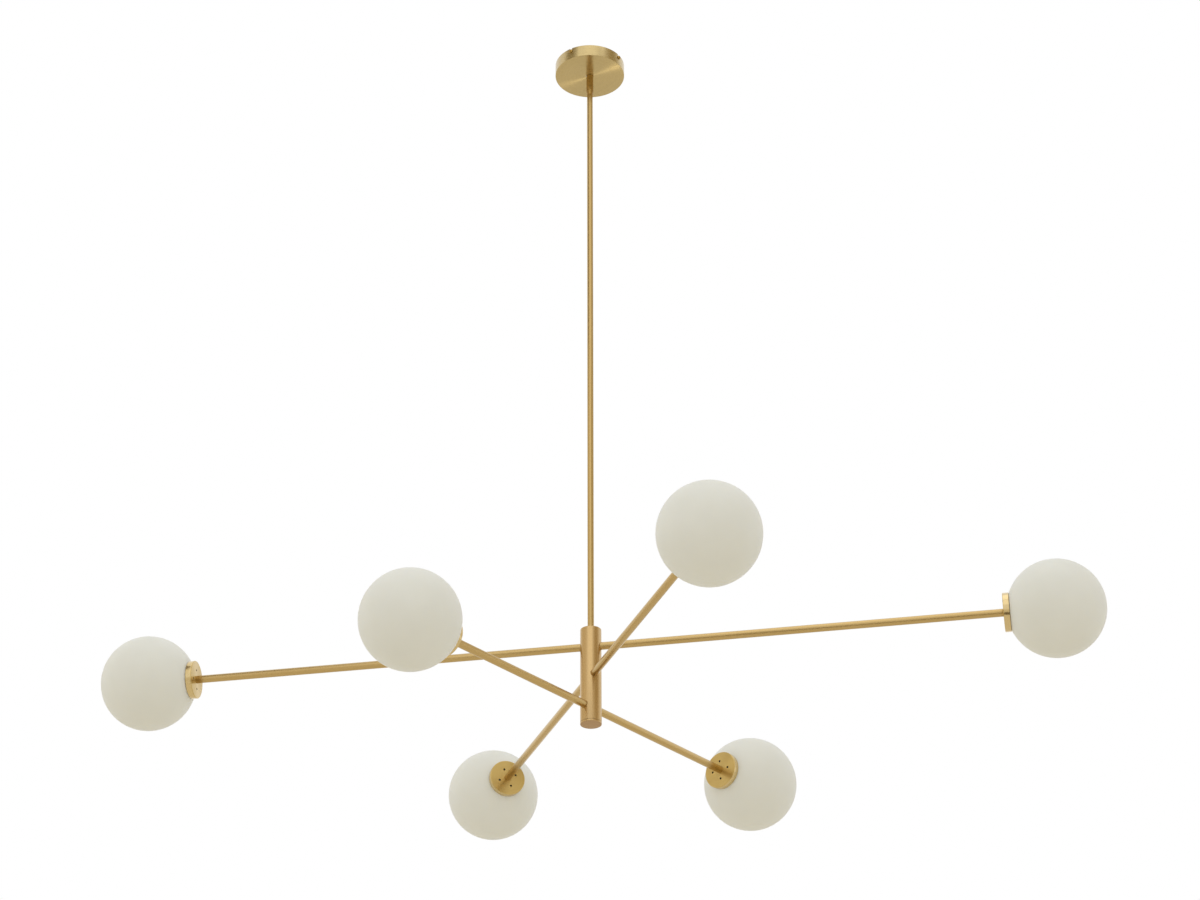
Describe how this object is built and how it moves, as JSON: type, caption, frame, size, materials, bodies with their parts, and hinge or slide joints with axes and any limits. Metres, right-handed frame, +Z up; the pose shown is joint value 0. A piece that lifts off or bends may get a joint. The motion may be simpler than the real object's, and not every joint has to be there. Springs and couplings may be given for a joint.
{
  "type": "pendant light",
  "caption": "Brass pendant light with opal globes on straight arms that pass through an upright hub at several levels.",
  "frame": {"origin": "centre of the ceiling plane, on the stem's axis, where the bracket meets the ceiling", "axes": "+Z up into the ceiling, +X along the long top arm, the middle arm 60 and the short arm 120 degrees clockwise from it seen from above"},
  "size_m": [1.578, 1.0074, 1.3043],
  "materials": {
    "satin_brass": "satin, brushed",
    "screw_brass": "bright turned",
    "zinc_plated_steel": "zinc plated",
    "opal_glass": "matt opal",
    "frosted_lamp": "frosted",
    "white_ceramic": "unglazed",
    "white_nylon": "moulded",
    "silicone": "moulded"
  },
  "bodies": {
    "ceiling": {"ceiling_bracket": "zinc_plated_steel", "canopy_screws": "satin_brass", "terminal_block": "white_nylon", "terminal_screws": "zinc_plated_steel", "earth_cup_washer": "zinc_plated_steel", "earth_screw": "screw_brass"},
    "canopy": {"canopy": "satin_brass"},
    "stem": {"stem_nipple": "zinc_plated_steel", "stem_washer": "zinc_plated_steel", "stem_nut": "zinc_plated_steel", "wire_bush": "white_nylon", "stem_collar": "satin_brass", "drop_rod": "satin_brass", "hub_body": "satin_brass", "hub_washer": "zinc_plated_steel", "hub_nut": "zinc_plated_steel", "arm_long": "satin_brass", "arm_middle": "satin_brass", "arm_short": "satin_brass", "holder_long_right": "satin_brass", "gasket_long_right": "silicone", "socket_bracket_long_right": "zinc_plated_steel", "socket_long_right": "white_ceramic", "holder_long_left": "satin_brass", "gasket_long_left": "silicone", "socket_bracket_long_left": "zinc_plated_steel", "socket_long_left": "white_ceramic", "holder_middle_near": "satin_brass", "gasket_middle_near": "silicone", "socket_bracket_middle_near": "zinc_plated_steel", "socket_middle_near": "white_ceramic", "holder_middle_far": "satin_brass", "gasket_middle_far": "silicone", "socket_bracket_middle_far": "zinc_plated_steel", "socket_middle_far": "white_ceramic", "holder_short_near": "satin_brass", "gasket_short_near": "silicone", "socket_bracket_short_near": "zinc_plated_steel", "socket_short_near": "white_ceramic", "holder_short_far": "satin_brass", "gasket_short_far": "silicone", "socket_bracket_short_far": "zinc_plated_steel", "socket_short_far": "white_ceramic", "lamp_nipples": "zinc_plated_steel", "lamp_nuts": "zinc_plated_steel", "socket_screws": "zinc_plated_steel"},
    "hub_cap": {"hub_cap": "satin_brass"},
    "globe_long_right": {"globe_long_right": "opal_glass"},
    "lamp_long_right": {"lamp_long_right": "frosted_lamp"},
    "globe_long_left": {"globe_long_left": "opal_glass"},
    "lamp_long_left": {"lamp_long_left": "frosted_lamp"},
    "globe_middle_near": {"globe_middle_near": "opal_glass"},
    "lamp_middle_near": {"lamp_middle_near": "frosted_lamp"},
    "globe_middle_far": {"globe_middle_far": "opal_glass"},
    "lamp_middle_far": {"lamp_middle_far": "frosted_lamp"},
    "globe_short_near": {"globe_short_near": "opal_glass"},
    "lamp_short_near": {"lamp_short_near": "frosted_lamp"},
    "globe_short_far": {"globe_short_far": "opal_glass"},
    "lamp_short_far": {"lamp_short_far": "frosted_lamp"}
  },
  "joints": [
    {"name": "canopy_slide", "type": "slide", "parent": "ceiling", "child": "canopy", "axis": [0, 0, -1], "range_m": [0, 1.074]},
    {"name": "stem_swivel", "type": "hinge", "parent": "ceiling", "child": "stem", "pos_m": [0, 0, -0.0095], "axis": [0, 0, 1], "range_deg": [-175, 175]},
    {"name": "hub_cap_slide", "type": "slide", "parent": "stem", "child": "hub_cap", "axis": [0, 0, -1], "range_m": [0, 0.04]},
    {"name": "globe_long_right_off", "type": "slide", "parent": "stem", "child": "globe_long_right", "axis": [1, 0, 0], "range_m": [0, 0.09]},
    {"name": "lamp_long_right_pull", "type": "slide", "parent": "stem", "child": "lamp_long_right", "axis": [1, 0, 0], "range_m": [0, 0.03]},
    {"name": "globe_long_left_off", "type": "slide", "parent": "stem", "child": "globe_long_left", "axis": [-1, 0, 0], "range_m": [0, 0.09]},
    {"name": "lamp_long_left_pull", "type": "slide", "parent": "stem", "child": "lamp_long_left", "axis": [-1, 0, 0], "range_m": [0, 0.03]},
    {"name": "globe_middle_near_off", "type": "slide", "parent": "stem", "child": "globe_middle_near", "axis": [0.5, -0.866, 0], "range_m": [0, 0.09]},
    {"name": "lamp_middle_near_pull", "type": "slide", "parent": "stem", "child": "lamp_middle_near", "axis": [0.5, -0.866, 0], "range_m": [0, 0.03]},
    {"name": "globe_middle_far_off", "type": "slide", "parent": "stem", "child": "globe_middle_far", "axis": [-0.5, 0.866, 0], "range_m": [0, 0.09]},
    {"name": "lamp_middle_far_pull", "type": "slide", "parent": "stem", "child": "lamp_middle_far", "axis": [-0.5, 0.866, 0], "range_m": [0, 0.03]},
    {"name": "globe_short_near_off", "type": "slide", "parent": "stem", "child": "globe_short_near", "axis": [-0.5, -0.866, 0], "range_m": [0, 0.09]},
    {"name": "lamp_short_near_pull", "type": "slide", "parent": "stem", "child": "lamp_short_near", "axis": [-0.5, -0.866, 0], "range_m": [0, 0.03]},
    {"name": "globe_short_far_off", "type": "slide", "parent": "stem", "child": "globe_short_far", "axis": [0.5, 0.866, 0], "range_m": [0, 0.09]},
    {"name": "lamp_short_far_pull", "type": "slide", "parent": "stem", "child": "lamp_short_far", "axis": [0.5, 0.866, 0], "range_m": [0, 0.03]}
  ]
}
